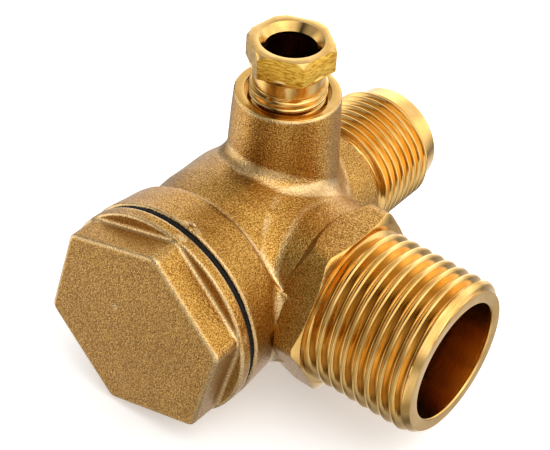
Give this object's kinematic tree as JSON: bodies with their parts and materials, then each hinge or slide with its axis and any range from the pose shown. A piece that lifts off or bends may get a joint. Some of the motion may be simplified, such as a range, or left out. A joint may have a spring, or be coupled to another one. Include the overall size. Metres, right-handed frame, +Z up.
{
  "type": "three-port check valve",
  "caption": "Forged brass three-port check valve for an air compressor: hexagon cap over a sprung poppet, threaded tank and inlet ports, and a small compression gland on a boss.",
  "frame": {"origin": "middle of the bottom of the valve's bounding box", "axes": "+X along the main bore, from the cap towards the inlet port; +Z up along the boss of the gland nut; the tank port points to -Y"},
  "size_m": [0.0548, 0.0468, 0.0428],
  "materials": {
    "cast_brass": "sand-blasted forging, fine grain, satin",
    "turned_brass": "bright turned, fine tool marks",
    "seal_rubber": "matt black",
    "spring_steel": "drawn wire"
  },
  "bodies": {
    "body": {"valve_body": "cast_brass"},
    "cap_carrier": {"cap_seal_ring": "seal_rubber", "check_spring": "spring_steel"},
    "cap": {"hex_cap": "cast_brass"},
    "poppet": {"poppet": "turned_brass", "seat_disc": "seal_rubber", "disc_washer": "turned_brass", "disc_screw": "turned_brass"},
    "olive": {"tube_olive": "turned_brass"},
    "gland": {"gland_nut": "turned_brass"}
  },
  "joints": [
    {"name": "cap_advance", "type": "slide", "parent": "body", "child": "cap_carrier", "axis": [-1, 0, 0], "range_m": [0, 0.0045]},
    {"name": "cap_turn", "type": "hinge", "parent": "cap_carrier", "child": "cap", "pos_m": [-0.02493, 0.00925, 0.0141], "axis": [-1, 0, 0], "range_deg": [0, 1080]},
    {"name": "poppet_lift", "type": "slide", "parent": "cap_carrier", "child": "poppet", "axis": [-1, 0, 0], "range_m": [0, 0.003], "stiffness_N_per_m": 300, "springref_m": -0.0042, "deforming": ["check_spring"]},
    {"name": "gland_advance", "type": "slide", "parent": "body", "child": "olive", "axis": [0, 0, 1], "range_m": [0, 0.003]},
    {"name": "gland_turn", "type": "hinge", "parent": "olive", "child": "gland", "pos_m": [0.0013, 0.00925, 0.0391], "axis": [0, 0, 1], "range_deg": [0, 1080]}
  ],
  "couplings": [
    {"joint": "cap_turn", "follows": "cap_advance", "rad_per_m": 4188.8},
    {"joint": "gland_turn", "follows": "gland_advance", "rad_per_m": 6283.2}
  ]
}
